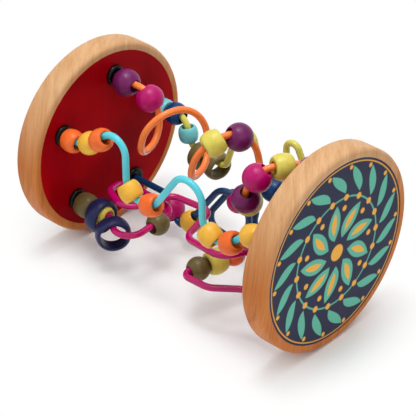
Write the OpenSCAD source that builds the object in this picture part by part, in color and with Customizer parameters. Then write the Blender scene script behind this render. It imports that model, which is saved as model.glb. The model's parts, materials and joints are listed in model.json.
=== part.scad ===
// Rolling bead maze: two wooden discs joined by five bent wires that carry wooden balls, barrels and rings.
// Millimetres. X runs along the toy from disc to disc, Z is up, and both discs stand on their rims at Z = 0.

/* [Discs] */
// Diameter of the wooden discs
disc_d = 150; // [140:1:170]
// Thickness of each disc
disc_t = 20; // [17:1:28]
// Distance between the inner faces of the discs
disc_gap = 198; // [194:1:214]
// Rounding of the rim edges
rim_round = 3; // [1:0.5:5]
// Diameter of the panels let into the disc faces
panel_d = 137; // [128:1:138]
// Thickness of the panels
panel_t = 1.5; // [1:0.1:2.5]
// Depth of the panel faces below the wood
panel_inset = 0.3; // [0.1:0.1:0.6]

/* [Collars] */
// Radius of the circle on which the wires enter the discs
collar_ring_r = 51; // [48:0.5:54]
// Angle of the orange wire on that circle
collar_turn = 82; // [78:1:86]
// Diameter of a collar's flange
flange_d = 16; // [14:0.5:18]
// Height of a flange over the panel
flange_h = 3; // [2:0.1:3.5]
// Rounding of a flange's edge
flange_round = 2.4; // [1:0.1:2.8]
// Diameter of the sleeve that sits in the disc
sleeve_d = 9; // [8:0.1:11]
// Length of the sleeve below the flange
sleeve_l = 14; // [8:0.5:15]

/* [Wires] */
// Diameter of the coated wire
wire_d = 5; // [4:0.1:5.6]
// Length of wire held in each sleeve
wire_grip = 12; // [6:0.5:13]
// Radius of the orange corkscrew
coil_r = 20; // [19:0.25:21.5]
// Advance of the corkscrew in one turn
coil_pitch = 49; // [46:0.5:51]
// Straight left between two bends of the corkscrew
coil_straight = 1.5; // [0.5:0.1:3]

/* [Beads] */
// Diameter of the large balls
big_ball_d = 20.5; // [18:0.25:21]
// Diameter of the small balls
small_ball_d = 17.5; // [15:0.25:18]
// Diameter of a barrel
barrel_d = 19; // [15:0.25:19.5]
// Length of a barrel
barrel_l = 14; // [12:0.25:14.5]
// Diameter of a barrel on the aqua wire
aqua_barrel_d = 17; // [15:0.25:18]
// Length of a barrel on the aqua wire
aqua_barrel_l = 13; // [11.5:0.25:13.5]
// Diameter of a slim barrel
slim_d = 15; // [13.5:0.25:15.5]
// Length of a slim barrel
slim_l = 12; // [10:0.25:12.5]
// Length of the short barrel behind the lime wire's first ball
short_l = 9; // [7:0.25:9.25]
// Radius of a barrel's bulging side
side_curve = 14; // [10.5:0.5:20]
// Diameter of the bore through balls and barrels
bead_bore = 9; // [8.6:0.1:9.6]
// Chamfer at the ends of the bore
bore_chamfer = 0.7; // [0.2:0.1:1]
// Outer diameter of the navy rings
navy_ring_d = 26.5; // [25:0.25:27]
// Bore of the navy rings
navy_ring_bore = 20; // [19:0.25:21]
// Outer diameter of the olive rings
olive_ring_d = 22; // [20:0.25:23]
// Bore of the olive rings
olive_ring_bore = 15; // [14:0.25:16]
// Width of the rings
ring_w = 11.5; // [10:0.25:12]
// Radius of a ring's bulging side
ring_curve = 13; // [8:0.5:20]

/* [Fits] */
// Gap between pieces that are pressed or laid together
fit_gap = 0.05; // [0.01:0.01:0.1]
// Gap between a bead and the wire that it hangs on
seat_gap = 0.3; // [0.2:0.05:0.4]
// Gap between beads that stand in a row
bead_gap = 0.3; // [0.2:0.05:0.4]

/* [Hidden] */
$fn = 64;

// Colours of wood, paint and coating
wood = [0.85, 0.64, 0.42];
red = [0.50, 0.06, 0.07];
navy = [0.15, 0.17, 0.32];
black = [0.03, 0.02, 0.02];
orange = [0.95, 0.45, 0.15];
aqua = [0.35, 0.80, 0.84];
magenta = [0.75, 0.05, 0.40];
blue = [0.02, 0.18, 0.33];
lime = [0.84, 0.80, 0.38];
purple = [0.36, 0.12, 0.30];
mustard = [0.90, 0.66, 0.22];
olive = [0.42, 0.36, 0.20];
yellow = [0.88, 0.80, 0.36];

// The toy is drawn about its own axis and then lifted to stand on the floor
axis_z = disc_d / 2;
face_x = disc_gap / 2;
left = -1;
right = 1;

// The five wires in their order round the disc
ORANGE = 0;
AQUA = 1;
MAGENTA = 2;
BLUE = 3;
LIME = 4;
WIRES = 5;
function collar_angle(w) = collar_turn + w * 360 / WIRES;
function collar_y(w) = collar_ring_r * cos(collar_angle(w));
function collar_z(w) = collar_ring_r * sin(collar_angle(w));
function entry(w, side, x, bend) = [side * x, collar_y(w), collar_z(w), bend];

// The coating is a little thicker on the bends, and each straight reaches a little way into them
bend_swell = 0.02;
bend_lap = 0.3;

// Corkscrew: a square screw of corners, each rounded by a bend
coil_x = -77;
coil_y = -4;
coil_z = 33;
coil_corners = 4;
coil_first = 1;
coil_last = 11;
coil_edge = norm([coil_pitch / coil_corners, 2 * coil_r]);
coil_bend_turn = acos(pow(coil_pitch / coil_corners / coil_edge, 2));
coil_bend = (coil_edge - coil_straight) / 2 / tan(coil_bend_turn / 2);
coil_entry_bend = 16;
coil_exit_bend = 18;
function coil_bend_at(q) = q == coil_first ? coil_entry_bend : q == coil_last ? coil_exit_bend : coil_bend;
function coil_angle(q) = 360 / coil_corners * (q + 1 / 2);
function coil_corner(q, bend) = [
  coil_x + coil_pitch * coil_angle(q) / 360,
  coil_y + coil_r * sqrt(2) * sin(coil_angle(q)),
  coil_z + coil_r * sqrt(2) * cos(coil_angle(q)),
  bend
];

// Routes: each row is a corner of the wire, as x, y, z from the middle of the toy and the bend's radius
orange_route = concat(
  [entry(ORANGE, left, face_x, 0), entry(ORANGE, left, 59, coil_entry_bend)],
  [for (q = [coil_first:coil_last]) coil_corner(q, coil_bend_at(q))],
  [entry(ORANGE, right, 78, 14), entry(ORANGE, right, face_x, 0)]
);
aqua_y = collar_y(AQUA);
aqua_route = [
  entry(AQUA, left, face_x, 0),
  entry(AQUA, left, 80, 30),
  [-35, aqua_y, 54, 12],
  [-35, aqua_y, -2, 14],
  [-8, aqua_y, 2, 14],
  [38, aqua_y, 68, 14],
  [38, aqua_y, -5, 14],
  [64, aqua_y, 5, 15],
  entry(AQUA, right, 82, 14),
  entry(AQUA, right, face_x, 0)
];
magenta_route = [
  entry(MAGENTA, left, face_x, 0),
  entry(MAGENTA, left, 63, 14),
  [-31, -60, -37, 12],
  [-34, 2, -36, 12],
  [-87, 1, -33, 9],
  [-76, -24, -25, 11],
  [-50, -34, -26, 12],
  [-40, 5, -27, 9],
  [-5, 9, -27, 9],
  [6, -29, -26, 13],
  [46, -35, -21, 13],
  [66, 10, -22, 8],
  [37.5, 9.5, -35, 8],
  [22.5, -51, -38, 6],
  [48, -51, -37, 14],
  entry(MAGENTA, right, 68, 14),
  entry(MAGENTA, right, face_x, 0)
];
blue_route = [
  entry(BLUE, left, face_x, 0),
  entry(BLUE, left, 64, 9),
  [-43, 17, -66, 9],
  [-10, 24, -17, 14],
  [19, 26, -17, 17],
  [11, 29, -62, 9],
  [-35, 33, -60, 9],
  [-11, 37, -25, 13],
  [14, 40, -25, 10],
  [10, 37, -51, 10],
  entry(BLUE, right, 60, 20),
  entry(BLUE, right, face_x, 0)
];
lime_y = collar_y(LIME);
lime_route = [
  entry(LIME, left, face_x, 0),
  entry(LIME, left, 68, 14),
  [-64, lime_y, -15, 11],
  [-28, lime_y, -18, 6],
  [-16, lime_y, 21, 7],
  [-2, lime_y, 21, 7],
  [10, lime_y, -17, 7],
  [30, lime_y, -17, 7],
  [30, lime_y, 49, 6],
  [56, lime_y, -5, 10],
  entry(LIME, right, 76, 14),
  entry(LIME, right, face_x, 0)
];

// Geometry of a route: straight k runs from corner k to corner k + 1, and bend k rounds corner k
function unit(v) = v / norm(v);
function spot(route, k) = [route[k][0], route[k][1], route[k][2]];
function way(route, k) = unit(spot(route, k + 1) - spot(route, k));
function is_end(route, k) = k == 0 || k == len(route) - 1;
function turn(route, k) = acos(way(route, k - 1) * way(route, k));
function cut_back(route, k) = is_end(route, k) ? 0 : route[k][3] * tan(turn(route, k) / 2);
function straight_start(route, k) = spot(route, k) + cut_back(route, k) * way(route, k);
function straight_l(route, k) =
  norm(spot(route, k + 1) - spot(route, k)) - cut_back(route, k) - cut_back(route, k + 1);
function inward(route, k) =
  unit(way(route, k) - (way(route, k) * way(route, k - 1)) * way(route, k - 1));
function bend_start(route, k) = spot(route, k) - cut_back(route, k) * way(route, k - 1);
function bend_centre(route, k) = bend_start(route, k) + route[k][3] * inward(route, k);
function bend_spot(route, k, a) =
  bend_centre(route, k) + route[k][3] * (sin(a) * way(route, k - 1) - cos(a) * inward(route, k));
function bend_way(route, k, a) = cos(a) * way(route, k - 1) + sin(a) * inward(route, k);
function bend_inward(route, k, a) = cos(a) * inward(route, k) - sin(a) * way(route, k - 1);
// A wire steeper than this takes its upright from X
steep = 0.999;
function guide(along) = abs(along[2]) > steep ? [1, 0, 0] : [0, 0, 1];
function upright(along) = unit(guide(along) - (guide(along) * along) * along);

// Frame with its origin at o and its axes along ex, ey and ez
function axes(o, ex, ey, ez) = [
  [ex[0], ey[0], ez[0], o[0]],
  [ex[1], ey[1], ez[1], o[1]],
  [ex[2], ey[2], ez[2], o[2]],
  [0, 0, 0, 1]
];
function along_axes(o, along) = axes(o, cross(upright(along), along), upright(along), along);

// How far a bead hangs: as low as its bore allows on a wire that bows by bow towards inward
function rest_offset(bow, inward, down, clear) =
  let (low = clear * down)
  let (low_end = bow * inward + clear * down)
  let (middle = bow / 2 * inward)
  let (across = down - (down * inward) * inward)
  let (reach = sqrt(max(0, clear * clear - bow * bow / 4)))
  norm(low - bow * inward) <= clear ? low
  : norm(low_end) <= clear ? low_end
  : middle + (norm(across) > 0 ? reach * unit(across) : [0, 0, 0]);

bead_clear = bead_bore / 2 - wire_d / 2 - seat_gap;
function ball_half(d) = sqrt(pow(d / 2, 2) - pow(bead_bore / 2, 2));
function bow_of(route, k, half) = route[k][3] - sqrt(pow(route[k][3], 2) - half * half);
function by_collar(half) = flange_h + seat_gap + half;
function beside(half, next_half) = half + bead_gap + next_half;

module on_toy() translate([0, 0, axis_z]) children();

// Places a bead on straight k, its middle at s from the start, hanging clear less lift below the wire
module on_straight(route, k, s, clear, lift = 0, swing = 0) {
  spot_s = straight_start(route, k) + s * way(route, k);
  on_toy()
    multmatrix(along_axes(spot_s, way(route, k)))
      translate([0, lift - clear, 0])
        rotate([0, swing, 0])
          children();
}

// Places a bead of the given half length on bend k, at angle a from the bend's start
module on_bend(route, k, a, half, clear) {
  along = bend_way(route, k, a);
  off = rest_offset(bow_of(route, k, half), bend_inward(route, k, a), -upright(along), clear);
  on_toy()
    multmatrix(along_axes(bend_spot(route, k, a) + off, along))
      children();
}

// One wire: its straights, the outer two longer by the ends held in the sleeves, and its bends
module wire(route) {
  last = len(route) - 1;
  on_toy() {
    for (k = [0:last - 1]) {
      before = k == 0 ? wire_grip : bend_lap;
      after = k == last - 1 ? wire_grip : bend_lap;
      multmatrix(along_axes(straight_start(route, k), way(route, k)))
        translate([0, 0, -before])
          cylinder(d = wire_d, h = before + straight_l(route, k) + after);
    }
    for (k = [1:last - 1])
      multmatrix(axes(bend_centre(route, k), -inward(route, k), way(route, k - 1),
                      cross(way(route, k - 1), inward(route, k))))
        rotate_extrude(angle = turn(route, k))
          translate([route[k][3], 0])
            circle(d = wire_d + 2 * bend_swell);
  }
}

// Discs, panels and collars stand on an inner face, with local Z pointing to the middle of the toy
module on_face(side) {
  on_toy()
    translate([side * face_x, 0, 0])
      rotate([0, -side * 90, 0])
        children();
}
module at_collar(side, w) {
  on_face(side)
    translate([side * collar_z(w), collar_y(w), 0])
      children();
}

panel_recess = panel_t + panel_inset;
module disc_outline() {
  inner_r = disc_d / 2 - rim_round;
  translate([0, -disc_t])
    square([inner_r, disc_t]);
  translate([0, rim_round - disc_t])
    square([disc_d / 2, disc_t - 2 * rim_round]);
  for (z = [-rim_round, rim_round - disc_t])
    translate([inner_r, z])
      circle(r = rim_round);
}
module disc(side) {
  recess_d = panel_d + 2 * fit_gap;
  color(wood)
    difference() {
      on_face(side)
        rotate_extrude()
          disc_outline();
      on_face(side)
        for (z = [-panel_recess, -disc_t - panel_recess])
          translate([0, 0, z])
            cylinder(d = recess_d, h = 2 * panel_recess);
      for (w = [0:WIRES - 1])
        at_collar(side, w)
          translate([0, 0, -panel_inset - sleeve_l])
            cylinder(d = sleeve_d + 2 * fit_gap, h = sleeve_l);
    }
}
module inner_panel(side) {
  color(red)
    difference() {
      on_face(side)
        translate([0, 0, -panel_recess])
          cylinder(d = panel_d, h = panel_t);
      for (w = [0:WIRES - 1])
        at_collar(side, w)
          translate([0, 0, -2 * panel_recess])
            cylinder(d = sleeve_d + 2 * fit_gap, h = 3 * panel_recess);
    }
}
module outer_panel(side) {
  color(navy)
    on_face(side)
      translate([0, 0, panel_inset - disc_t])
        cylinder(d = panel_d, h = panel_t);
}
module collar_outline() {
  bore_r = wire_d / 2 + fit_gap;
  crown_r = flange_d / 2 - flange_round;
  seat = fit_gap - panel_inset;
  translate([bore_r, seat - sleeve_l])
    square([sleeve_d / 2 - bore_r, sleeve_l]);
  translate([bore_r, seat])
    square([crown_r - bore_r, flange_h - seat]);
  translate([bore_r, seat])
    square([flange_d / 2 - bore_r, flange_h - flange_round - seat]);
  intersection() {
    translate([crown_r, flange_h - flange_round])
      circle(r = flange_round);
    translate([crown_r, seat])
      square([flange_round, flange_h - seat]);
  }
}
module collar(side, w) {
  color(black)
    at_collar(side, w)
      rotate_extrude()
        collar_outline();
}

// Bead shapes lie on the local Z axis, centred
module bored(half, bore) {
  difference() {
    children();
    cylinder(d = bore, h = 3 * half, center = true);
    for (m = [0, 1])
      mirror([0, 0, m])
        translate([0, 0, half - bore_chamfer])
          cylinder(d1 = bore, d2 = bore + 4 * bore_chamfer, h = 2 * bore_chamfer);
  }
}
module ball(d) {
  bored(ball_half(d), bead_bore)
    sphere(d = d);
}
module rounded(d, l, bore, curve) {
  bored(l / 2, bore)
    rotate_extrude()
      intersection() {
        translate([0, -l / 2])
          square([d / 2, l]);
        union() {
          translate([d / 2 - curve, 0])
            circle(r = curve);
          translate([0, -l / 2])
            square([bore / 2, l]);
        }
      }
}
module barrel() rounded(barrel_d, barrel_l, bead_bore, side_curve);
module aqua_barrel() rounded(aqua_barrel_d, aqua_barrel_l, bead_bore, side_curve);
module slim_barrel() rounded(slim_d, slim_l, bead_bore, side_curve);
module short_barrel() rounded(slim_d, short_l, bead_bore, side_curve);
module navy_ring() rounded(navy_ring_d, ring_w, navy_ring_bore, ring_curve);
module olive_ring() rounded(olive_ring_d, ring_w, olive_ring_bore, ring_curve);

big_half = ball_half(big_ball_d);
small_half = ball_half(small_ball_d);
barrel_half = barrel_l / 2;
aqua_half = aqua_barrel_l / 2;
short_half = short_l / 2;
// Places of beads in a row on one straight
aqua_row_s = 1.5;
magenta_row_end_s = 42;
magenta_row_middle_s = magenta_row_end_s - beside(small_half, barrel_half);
magenta_row_start_s = magenta_row_middle_s - beside(barrel_half, small_half);
lime_row_s = by_collar(short_half);
olive_ring_clear = olive_ring_bore / 2 - wire_d / 2 - seat_gap;
navy_ring_clear = navy_ring_bore / 2 - wire_d / 2 - seat_gap;
// The first navy ring hangs on the barrel inside it
nested_ring_clear = bead_clear + navy_ring_bore / 2 - slim_d / 2 - seat_gap;

// Beads of the orange wire
module orange_purple_ball_1()
  color(purple)
    on_straight(orange_route, k = 0, s = by_collar(big_half), clear = bead_clear)
      ball(big_ball_d);
module orange_magenta_ball_1()
  color(magenta)
    on_bend(orange_route, k = 1, a = 50, half = big_half, clear = bead_clear)
      ball(big_ball_d);
module orange_lime_barrel_1()
  color(lime)
    on_bend(orange_route, k = 8, a = 60, half = barrel_half, clear = bead_clear)
      barrel();
module orange_purple_ball_2()
  color(purple)
    on_bend(orange_route, k = 9, a = 28, half = big_half, clear = bead_clear)
      ball(big_ball_d);
module orange_lime_barrel_2()
  color(lime)
    on_bend(orange_route, k = 11, a = 12, half = barrel_half, clear = bead_clear)
      barrel();
module orange_purple_ball_3()
  color(purple)
    on_bend(orange_route, k = 11, a = 67, half = big_half, clear = bead_clear)
      ball(big_ball_d);
module orange_magenta_ball_2()
  color(magenta)
    on_bend(orange_route, k = 12, a = 35, half = big_half, clear = bead_clear)
      ball(big_ball_d);
module orange_lime_barrel_3()
  color(lime)
    on_straight(orange_route, k = 12, s = 4.8, clear = bead_clear, lift = 0.4)
      barrel();
module orange_purple_ball_4()
  color(purple)
    on_straight(orange_route, k = 13, s = 1, clear = bead_clear, lift = 1)
      ball(small_ball_d);

// Beads of the aqua wire
module aqua_orange_barrel_1()
  color(orange)
    on_straight(aqua_route, k = 0, s = by_collar(aqua_half), clear = bead_clear, lift = 1)
      aqua_barrel();
module aqua_mustard_barrel_1()
  color(mustard)
    on_straight(aqua_route, k = 1, s = aqua_row_s, clear = bead_clear, lift = 0.6)
      aqua_barrel();
module aqua_orange_barrel_2()
  color(orange)
    on_straight(aqua_route, k = 1, s = aqua_row_s + beside(aqua_half, aqua_half), clear = bead_clear)
      aqua_barrel();
module aqua_mustard_barrel_2()
  color(mustard)
    on_bend(aqua_route, k = 3, a = 44, half = aqua_half, clear = bead_clear)
      aqua_barrel();
module aqua_orange_barrel_3()
  color(orange)
    on_bend(aqua_route, k = 4, a = 14, half = aqua_half, clear = bead_clear)
      aqua_barrel();
module aqua_mustard_barrel_3()
  color(mustard)
    on_bend(aqua_route, k = 6, a = 62, half = aqua_half, clear = bead_clear)
      aqua_barrel();
module aqua_orange_barrel_4()
  color(orange)
    on_bend(aqua_route, k = 7, a = 14, half = aqua_half, clear = bead_clear)
      aqua_barrel();
module aqua_mustard_barrel_4()
  color(mustard)
    on_bend(aqua_route, k = 8, a = 25, half = aqua_half, clear = bead_clear)
      aqua_barrel();

// Beads and rings of the magenta wire
module magenta_olive_barrel()
  color(olive)
    on_straight(magenta_route, k = 0, s = by_collar(barrel_half), clear = bead_clear)
      barrel();
module magenta_yellow_barrel()
  color(yellow)
    on_straight(magenta_route, k = 0, s = 28, clear = bead_clear)
      slim_barrel();
module magenta_navy_ring_1()
  color(navy)
    on_straight(magenta_route, k = 0, s = 25.4, clear = nested_ring_clear)
      navy_ring();
module magenta_navy_ring_2()
  color(navy)
    on_straight(magenta_route, k = 1, s = 6.5, clear = navy_ring_clear)
      navy_ring();
module magenta_olive_ball_1()
  color(olive)
    on_straight(magenta_route, k = 2, s = 17, clear = bead_clear)
      ball(small_ball_d);
module magenta_orange_ball()
  color(orange)
    on_straight(magenta_route, k = 12, s = magenta_row_start_s, clear = bead_clear)
      ball(small_ball_d);
module magenta_lime_barrel()
  color(lime)
    on_straight(magenta_route, k = 12, s = magenta_row_middle_s, clear = bead_clear)
      barrel();
module magenta_olive_ball_2()
  color(olive)
    on_straight(magenta_route, k = 12, s = magenta_row_end_s, clear = bead_clear, lift = 0.1)
      ball(small_ball_d);

// Beads of the blue wire
module blue_magenta_ball_1()
  color(magenta)
    on_straight(blue_route, k = 1, s = 7.8, clear = bead_clear, lift = 0.2)
      ball(big_ball_d);
module blue_mustard_ball()
  color(mustard)
    on_straight(blue_route, k = 2, s = 4, clear = bead_clear, lift = 0.6)
      ball(small_ball_d);
module blue_magenta_ball_2()
  color(magenta)
    on_bend(blue_route, k = 4, a = 33, half = small_half, clear = bead_clear)
      ball(small_ball_d);

// Beads and rings of the lime wire
module lime_aqua_barrel_1()
  color(aqua)
    on_straight(lime_route, k = 0, s = lime_row_s, clear = bead_clear)
      short_barrel();
module lime_navy_ball()
  color(blue)
    on_straight(lime_route, k = 0, s = lime_row_s + beside(short_half, small_half), clear = bead_clear)
      ball(small_ball_d);
module lime_aqua_barrel_2()
  color(aqua)
    on_straight(lime_route, k = 1, s = 2.2, clear = bead_clear, lift = 1.1)
      slim_barrel();
module lime_olive_ring_1()
  color(olive)
    on_straight(lime_route, k = 2, s = 2.4, clear = olive_ring_clear, lift = 0.9)
      olive_ring();
module lime_olive_ring_2()
  color(olive)
    on_straight(lime_route, k = 2, s = 18.4, clear = olive_ring_clear, lift = 1.2, swing = -15)
      olive_ring();
module lime_blue_barrel()
  color(blue)
    on_straight(lime_route, k = 6, s = 4, clear = bead_clear, lift = 1.2)
      barrel();

disc(left);  // left_disc
disc(right);  // right_disc
inner_panel(left);  // left_inner_panel
inner_panel(right);  // right_inner_panel
outer_panel(left);  // left_outer_panel
outer_panel(right);  // right_outer_panel
color(orange) wire(orange_route);  // orange_wire
color(aqua) wire(aqua_route);  // aqua_wire
color(magenta) wire(magenta_route);  // magenta_wire
color(blue) wire(blue_route);  // blue_wire
color(lime) wire(lime_route);  // lime_wire
collar(left, ORANGE);  // left_orange_collar
collar(left, AQUA);  // left_aqua_collar
collar(left, MAGENTA);  // left_magenta_collar
collar(left, BLUE);  // left_blue_collar
collar(left, LIME);  // left_lime_collar
collar(right, ORANGE);  // right_orange_collar
collar(right, AQUA);  // right_aqua_collar
collar(right, MAGENTA);  // right_magenta_collar
collar(right, BLUE);  // right_blue_collar
collar(right, LIME);  // right_lime_collar
orange_purple_ball_1();
orange_magenta_ball_1();
orange_lime_barrel_1();
orange_purple_ball_2();
orange_lime_barrel_2();
orange_purple_ball_3();
orange_magenta_ball_2();
orange_lime_barrel_3();
orange_purple_ball_4();
aqua_orange_barrel_1();
aqua_mustard_barrel_1();
aqua_orange_barrel_2();
aqua_mustard_barrel_2();
aqua_orange_barrel_3();
aqua_mustard_barrel_3();
aqua_orange_barrel_4();
aqua_mustard_barrel_4();
magenta_olive_barrel();
magenta_yellow_barrel();
magenta_navy_ring_1();
magenta_navy_ring_2();
magenta_olive_ball_1();
magenta_orange_ball();
magenta_lime_barrel();
magenta_olive_ball_2();
blue_magenta_ball_1();
blue_mustard_ball();
blue_magenta_ball_2();
lime_aqua_barrel_1();
lime_navy_ball();
lime_aqua_barrel_2();
lime_olive_ring_1();
lime_olive_ring_2();
lime_blue_barrel();
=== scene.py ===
"""Dresses the rolling bead maze.

Turned beads, coated wires, wooden discs and printed panels stand in a pale studio.
"""

import json
import logging
import math
from dataclasses import dataclass, field
from enum import Enum
from typing import Callable, Dict, List, Optional, Sequence, Tuple, Union

import bmesh
import bpy
from mathutils import Matrix, Vector

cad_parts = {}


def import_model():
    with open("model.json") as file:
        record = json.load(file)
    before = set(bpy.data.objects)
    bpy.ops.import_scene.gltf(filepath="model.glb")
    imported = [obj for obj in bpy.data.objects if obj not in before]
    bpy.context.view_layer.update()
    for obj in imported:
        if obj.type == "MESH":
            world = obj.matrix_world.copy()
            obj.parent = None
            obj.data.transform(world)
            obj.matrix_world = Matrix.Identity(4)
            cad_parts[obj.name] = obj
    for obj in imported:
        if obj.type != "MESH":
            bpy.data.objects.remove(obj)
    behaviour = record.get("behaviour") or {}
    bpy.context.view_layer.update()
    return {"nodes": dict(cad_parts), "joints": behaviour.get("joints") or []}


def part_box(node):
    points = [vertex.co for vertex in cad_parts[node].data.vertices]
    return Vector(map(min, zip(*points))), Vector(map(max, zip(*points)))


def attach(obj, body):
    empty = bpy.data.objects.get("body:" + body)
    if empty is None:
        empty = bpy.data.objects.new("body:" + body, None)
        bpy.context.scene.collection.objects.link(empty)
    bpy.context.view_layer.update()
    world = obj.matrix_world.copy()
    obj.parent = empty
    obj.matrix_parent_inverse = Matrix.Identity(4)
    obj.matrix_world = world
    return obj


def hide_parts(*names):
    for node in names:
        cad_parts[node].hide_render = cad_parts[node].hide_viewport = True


Shade = Tuple[int, int, int]
Range = Tuple[float, float]
Triple = Tuple[float, float, float]
Corner = Tuple[float, float, float, float]
Rgba = Tuple[float, float, float, float]
Profile = List[Tuple[float, float]]
Edges = List[bmesh.types.BMEdge]
Inputs = Dict[Union[int, str], object]
Socket = bpy.types.NodeSocket
Piece = bpy.types.Object
Finish = bpy.types.Material

log = logging.getLogger("bead_maze")
MM = 0.001
WHITE = (1.0, 1.0, 1.0, 1.0)
FRAME = "frame"


def linear(shade: Shade) -> Rgba:
    """Turns a colour as a screen shows it into the linear colour that shaders take.

    Args:
        shade: Red, green and blue from 0 to 255.

    Returns:
        The linear colour with full alpha.
    """
    shares = [value / 255.0 for value in shade]
    red, green, blue = (s / 12.92 if s <= 0.04045 else ((s + 0.055) / 1.055) ** 2.4 for s in shares)
    return red, green, blue, 1.0


def put(name: str, data: bpy.types.ID, place: Optional[Matrix] = None) -> Piece:
    """Puts an object into the scene.

    Args:
        name: Its name.
        data: Its mesh, lamp or camera.
        place: Where it stands, or nothing for the origin.

    Returns:
        The object.
    """
    obj = bpy.data.objects.new(name, data)
    bpy.context.scene.collection.objects.link(obj)
    if place is not None:
        obj.matrix_world = place
    return obj


def stand_in(obj: Piece, body: str, node: str) -> Piece:
    """Lets a piece take the place of its solid.

    Args:
        obj: The piece.
        body: The body that it rides on.
        node: The solid that it replaces.

    Returns:
        The piece.
    """
    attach(obj, body)
    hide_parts(node)
    return obj


def cover(node: Piece, material: Finish) -> Piece:
    """Gives a solid its finish.

    Args:
        node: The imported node.
        material: The finish.

    Returns:
        The node.
    """
    node.data.materials.clear()
    node.data.materials.append(material)
    return node


class Side(Enum):
    """The two ends of the toy, with the sign of their X."""

    LEFT = -1
    RIGHT = 1


@dataclass(frozen=True)
class Grain:
    """A noise pattern: how fine and rough it is, and how it is drawn out and turned in degrees."""

    scale: float
    detail: float = 3.0
    rough: float = 0.5
    twist: float = 0.0
    stretch: Triple = (1, 1, 1)
    turn: Triple = (0, 0, 0)


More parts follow.
